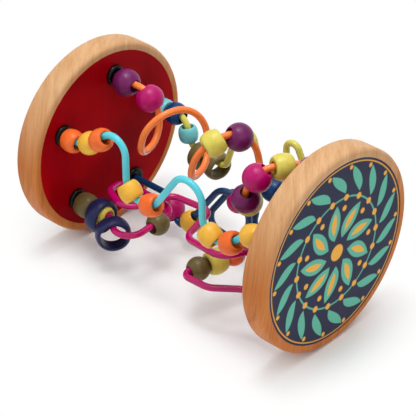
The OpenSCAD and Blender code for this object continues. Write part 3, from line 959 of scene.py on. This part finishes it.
@dataclass
class MazeWire:
    """One bent and coated wire, in millimetres."""

    coating: WireCoating
    route: List[Corner]
    diameter: float = 5
    grip: float = 12
    sides: int = 24
    step: float = 5.0
    axis_height: float = 75

    def spot(self, corner: int) -> Vector:
        """Returns a corner's place in metres."""
        x, y, z, _ = self.route[corner]
        return Vector((x, y, z + self.axis_height)) * MM

    def way(self, corner: int) -> Vector:
        """Returns the direction from a corner to the next."""
        return (self.spot(corner + 1) - self.spot(corner)).normalized()

    def cut_back(self, corner: int) -> float:
        """Works out how far before a corner its bend starts.

        Args:
            corner: The corner.

        Returns:
            The distance in metres.
        """
        if corner in (0, len(self.route) - 1):
            return 0.0
        return self.route[corner][3] * MM * math.tan(self.way(corner - 1).angle(self.way(corner)) / 2)

    def run(self, bm: bmesh.types.BMesh, edges: Edges, path: Vector) -> Edges:
        """Draws the open end of the wire out along a straight.

        Args:
            bm: The wire so far.
            edges: The edges of its open end.
            path: Where the end goes.

        Returns:
            The edges of the new end.
        """
        grown = bmesh.ops.extrude_edge_only(bm, edges=edges)["geom"]
        bmesh.ops.translate(bm, vec=path, verts=[g for g in grown if isinstance(g, bmesh.types.BMVert)])
        return [g for g in grown if isinstance(g, bmesh.types.BMEdge)]

    def bend(self, bm: bmesh.types.BMesh, edges: Edges, corner: int) -> Edges:
        """Spins the open end of the wire round a corner.

        Args:
            bm: The wire so far.
            edges: The edges of its open end.
            corner: The corner.

        Returns:
            The edges of the new end.
        """
        before, after = self.way(corner - 1), self.way(corner)
        turn = before.angle(after)
        inward = (after - before * after.dot(before)).normalized()
        centre = self.spot(corner) - self.cut_back(corner) * before + self.route[corner][3] * MM * inward
        spun = bmesh.ops.spin(bm, geom=edges, cent=centre, axis=before.cross(after).normalized(),
                              angle=turn, steps=max(3, round(math.degrees(turn) / self.step)))
        return [g for g in spun["geom_last"] if isinstance(g, bmesh.types.BMEdge)]

    def build(self) -> Piece:
        """Draws the wire from hole to hole, coats it and fixes it to the frame.

        Returns:
            The wire.
        """
        name = self.coating.name.lower()
        last = len(self.route) - 1
        bm = bmesh.new()
        start = Turning.frame(self.spot(0) - self.way(0) * self.grip * MM, self.way(0))
        bmesh.ops.create_circle(bm, segments=self.sides, radius=self.diameter / 2 * MM, matrix=start)
        edges = list(bm.edges)
        for corner in range(last):
            length = (self.spot(corner + 1) - self.spot(corner)).length
            length -= self.cut_back(corner) + self.cut_back(corner + 1)
            held = self.grip * MM * ((corner == 0) + (corner == last - 1))
            edges = self.run(bm, edges, self.way(corner) * (length + held))
            if corner + 1 < last:
                edges = self.bend(bm, edges, corner + 1)
        bmesh.ops.holes_fill(bm, edges=[e for e in bm.edges if e.is_boundary], sides=self.sides)
        bmesh.ops.recalc_face_normals(bm, faces=bm.faces)
        coating = self.coating.value.material("coating_" + name)
        obj = Turning.settle(bm, name + "_wire_bent", Matrix.Identity(4), coating)
        return stand_in(obj, FRAME, name + "_wire")


@dataclass
class WireSet:
    """The five wires with their routes.

    A corner has x, y and z from the toy's middle and the radius of its bend, in millimetres.
    """

    ring: CollarRing = CollarRing()
    screw: Corkscrew = Corkscrew()

    def flat(self, coating: WireCoating, corners: Sequence[Triple]) -> List[Corner]:
        """Sets corners of x, z and bend in the upright plane through a wire's holes."""
        depth = self.ring.entry(coating, Side.LEFT, 0, 0)[1]
        return [(x, depth, z, bend) for x, z, bend in corners]

    def build(self) -> List[Piece]:
        """Bends the five wires.

        Returns:
            The wires.
        """
        route = self.ring.route
        orange = route(WireCoating.ORANGE, (59, self.screw.entry_bend), (78, 14), self.screw.corners())
        aqua = route(WireCoating.AQUA, (80, 30), (82, 14), self.flat(WireCoating.AQUA, [
            (-35, 54, 12), (-35, -2, 14), (-8, 2, 14), (38, 68, 14), (38, -5, 14), (64, 5, 15)]))
        magenta = route(WireCoating.MAGENTA, (63, 14), (68, 14), [
            (-31, -60, -37, 12), (-34, 2, -36, 12), (-87, 1, -33, 9), (-76, -24, -25, 11),
            (-50, -34, -26, 12), (-40, 5, -27, 9), (-5, 9, -27, 9), (6, -29, -26, 13),
            (46, -35, -21, 13), (66, 10, -22, 8), (37.5, 9.5, -35, 8), (22.5, -51, -38, 6),
            (48, -51, -37, 14)])
        blue = route(WireCoating.BLUE, (64, 9), (60, 20), [
            (-43, 17, -66, 9), (-10, 24, -17, 14), (19, 26, -17, 17), (11, 29, -62, 9), (-35, 33, -60, 9),
            (-11, 37, -25, 13), (14, 40, -25, 10), (10, 37, -51, 10)])
        lime = route(WireCoating.LIME, (68, 14), (76, 14), self.flat(WireCoating.LIME, [
            (-64, -15, 11), (-28, -18, 6), (-16, 21, 7), (-2, 21, 7), (10, -17, 7), (30, -17, 7),
            (30, 49, 6), (56, -5, 10)]))
        routes = (orange, aqua, magenta, blue, lime)
        return [MazeWire(coating, corners).build() for coating, corners in zip(WireCoating, routes)]


@dataclass(frozen=True)
class CollarShape:
    """Sizes of a collar in millimetres, its heights from the disc's inner face."""

    hole: float = 5.1
    flange: float = 16
    height: float = 3
    dome: float = 2.4
    lip: float = 0.5
    lip_top: float = 0.4
    ledge: float = 1.1
    step: float = 1.5
    step_round: float = 0.35
    tail: float = 6
    tail_wall: float = 1.9
    sunk: float = 0.25

    def profile(self) -> Profile:
        """Gives the section: a step round the wire, the domed flange and the tail in the disc.

        Returns:
            The closed section as radius and height.
        """
        hole, rim, h, dome = self.hole / 2, self.flange / 2, self.height, self.dome
        lip_base = h - self.lip_top - self.lip
        points: Profile = [(hole, -self.tail), (hole, lip_base)]
        points += Turning.arc(self.lip, (hole + self.lip, lip_base), 180, 90, 5)
        points += [(hole + self.ledge, h - self.lip_top)]
        points += Turning.arc(self.step_round, (hole + self.step, h - self.step_round), 180, 90, 4)
        points += Turning.arc(dome, (rim - dome, h - dome), 90, 0, 10)
        points += [(rim, 0.0), (rim - self.sunk, -self.sunk)]
        return points + [(hole + self.tail_wall, -self.sunk), (hole + self.tail_wall, -self.tail)]


@dataclass
class Disc:
    """One wooden disc with its two panels and five collars, sizes in millimetres."""

    side: Side
    diameter: float = 150
    thick: float = 20
    face: float = 99
    rim_round: float = 3.2
    recess: float = 1.8
    panel: float = 137.1
    ease: float = 0.5
    board_shift: float = 0.37
    collar: CollarShape = CollarShape()

    def name(self, piece: str) -> str:
        """Returns a piece's name on this side."""
        return self.side.name.lower() + "_" + piece

    def facing(self, centre: Vector) -> Matrix:
        """Returns the matrix of a place on the inner face, with Z towards the other disc."""
        return Turning.frame(centre, Vector((-self.side.value, 0, 0)))

    def profile(self) -> Profile:
        """Gives the disc's section, from the inner recess round the rim to the outer recess.

        Returns:
            The closed section as radius and height.
        """
        outer, well, r, e = self.diameter / 2, self.panel / 2, self.rim_round, self.ease
        points: Profile = [(0.0, -self.recess), (well, -self.recess)]
        points += Turning.arc(e, (well + e, -e), 180, 90, 5)
        points += Turning.arc(r, (outer - r, -r), 90, 0, 10)
        points += Turning.arc(r, (outer - r, r - self.thick), 0, -90, 10)
        points += Turning.arc(e, (well + e, e - self.thick), -90, -180, 5)
        points += [(well, self.recess - self.thick), (0.0, self.recess - self.thick)]
        return points

    def build(self, nodes: Dict[str, Piece]) -> List[Piece]:
        """Turns the disc, dresses its panels and builds its collars.

        Args:
            nodes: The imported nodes.

        Returns:
            The disc, its panels and its collars.
        """
        beech = BeechFinish().material(self.name("beech"), self.board_shift * self.side.value)
        centre = Vector((self.side.value * self.face, 0, self.diameter / 2)) * MM
        bm = Turning.lathe(self.profile())
        disc = Turning.settle(bm, self.name("disc_turned"), self.facing(centre), beech)
        pieces = [
            stand_in(disc, FRAME, self.name("disc")),
            cover(nodes[self.name("inner_panel")], RedPanelFinish().material(self.name("red_lacquer"))),
            cover(nodes[self.name("outer_panel")], PrintedPanelFinish().material(self.name("print")))]
        plastic = CollarFinish().material(self.name("collar_plastic"))
        names = [self.name(coating.name.lower() + "_collar") for coating in WireCoating]
        return pieces + [self.fit_collar(name, plastic) for name in names]

    def fit_collar(self, node: str, plastic: Finish) -> Piece:
        """Turns one collar and sets it on the inner face.

        Args:
            node: The collar's solid.
            plastic: Its finish.

        Returns:
            The collar.
        """
        low, high = (Vector(corner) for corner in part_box(node))
        centre = (low + high) / 2
        centre.x = self.side.value * self.face * MM
        bm = Turning.lathe(self.collar.profile())
        obj = Turning.settle(bm, node + "_turned", self.facing(centre), plastic)
        return stand_in(obj, FRAME, node)


@dataclass(frozen=True)
class SoftBox:
    """A soft box that faces the toy: its place and size in metres and its power in watts."""

    place: Triple
    size: Range
    power: float
    target: Triple = (0, 0, 0.07)

    def hang(self, name: str) -> None:
        """Hangs the lamp.

        Args:
            name: Its name.
        """
        data = bpy.data.lights.new(name, "AREA")
        data.shape = "RECTANGLE"
        data.size, data.size_y = self.size
        data.energy = self.power
        aim = (Vector(self.target) - Vector(self.place)).normalized()
        turn = aim.to_track_quat("-Z", "Y").to_matrix().to_4x4()
        put(name, data, Matrix.Translation(self.place) @ turn)


class Lamp(Enum):
    """The lamps of the studio."""

    TOP = SoftBox((0.04, 0.05, 1.6), (1.5, 1.2), 14)
    KEY = SoftBox((-0.1, -0.1, 1.6), (0.4, 0.4), 7.5)
    FRONT = SoftBox((-0.5, -1.0, 1.0), (1.2, 1.2), 2.0)
    SIDE = SoftBox((1.2, -0.45, 0.8), (1.2, 1.2), 3.0)


@dataclass
class Studio:
    """Pale floor, soft lamps and the camera, in metres and degrees."""

    lens: float = 150.7
    sensor: float = 36
    eye: Triple = (0.70704, -0.75820, 0.74419)
    azimuth: float = 42.976
    elevation: float = 33.527
    room_light: float = 0.37
    room_tint: Rgba = (1.0, 0.99, 0.98, 1)
    paper: Rgba = (0.94, 0.95, 0.945, 1)
    paper_glow: float = 0.32
    disc_near: float = 0.06
    disc_face: float = 0.099
    paper_near: float = 0.02
    paper_far: float = 0.1
    paper_reach: float = 0.11
    floor_half: float = 8

    def camera(self) -> None:
        """Sets the camera at the photograph's angle."""
        data = bpy.data.cameras.new("camera")
        data.lens = self.lens
        data.sensor_width = self.sensor
        data.clip_end = 50
        tilt = Matrix.Rotation(math.radians(90 - self.elevation), 4, "X")
        turn = Matrix.Rotation(math.radians(self.azimuth), 4, "Z") @ tilt
        bpy.context.scene.camera = put("camera", data, Matrix.Translation(self.eye) @ turn)

    @staticmethod
    def seen(weave: Weave) -> Socket:
        """Gives 1 where the camera sees a surface, directly, mirrored or through it.

        Args:
            weave: The nodes that ask.

        Returns:
            The value's socket.
        """
        rays = weave.add("ShaderNodeLightPath").outputs
        mirrored = weave.math("MAXIMUM", rays["Is Camera Ray"], rays["Is Glossy Ray"])
        return weave.math("MAXIMUM", mirrored, rays["Is Transmission Ray"])

    def world(self) -> None:
        """Lights the room evenly and shows white behind the toy."""
        world = bpy.data.worlds.new("studio")
        bpy.context.scene.world = world
        w = Weave(world)
        room = w.add("ShaderNodeBackground", {"Color": self.room_tint, "Strength": self.room_light})
        white = w.add("ShaderNodeBackground", {"Color": WHITE, "Strength": 1.0})
        w.show(w.blend(self.seen(w), room, white), "ShaderNodeOutputWorld")

    def floor(self) -> None:
        """Lays a paper floor that keeps the toy's shadow, lifted between the discs by a painted glow, and
        turns to plain white away from its axis.
        """
        bm = bmesh.new()
        bmesh.ops.create_grid(bm, x_segments=1, y_segments=1, size=self.floor_half)
        mesh = bpy.data.meshes.new("floor")
        bm.to_mesh(mesh)
        bm.free()
        w = Weave(bpy.data.materials.new("floor_paper"))
        paper = w.add("ShaderNodeBsdfDiffuse", {"Color": self.paper})
        glow = w.add("ShaderNodeEmission", {"Color": WHITE, "Strength": 1.0})
        parts = w.parts(w.coords())
        along = w.math("ABSOLUTE", parts["X"])
        past = w.math("MAXIMUM", w.math("SUBTRACT", along, self.paper_reach), 0.0)
        away = w.length(past, parts["Y"])
        # Painted light: the floor glows for the camera between the discs, painting the shadow under the
        # wires lighter while the shadows at the discs stay dark.
        middle_shadow_lift = w.span(along, (self.disc_near, self.disc_face), (self.paper_glow, 0.0))
        share = w.math("MAXIMUM", w.span(away, (self.paper_near, self.paper_far)), middle_shadow_lift)
        w.show(w.blend(w.math("MULTIPLY", self.seen(w), share), paper, glow))
        mesh.materials.append(w.owner)
        put("floor", mesh)

    def build(self) -> None:
        """Sets up camera, floor and light."""
        bpy.context.scene.view_settings.view_transform = "Standard"
        self.camera()
        self.world()
        self.floor()
        for lamp in Lamp:
            lamp.value.hang(lamp.name.lower())


def main() -> None:
    """Builds the studio and the toy's pieces in order and logs the face count of each piece."""
    logging.basicConfig(level=logging.INFO, format="%(name)s: %(message)s")
    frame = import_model()
    Studio().build()
    pieces = [piece for side in Side for piece in Disc(side).build(frame["nodes"])]
    pieces += WireSet().build()
    pieces += BeadSet().build(frame["joints"])
    for piece in pieces:
        log.info("%s: %d faces", piece.name, len(piece.data.polygons))


if __name__ == "__main__":
    main()
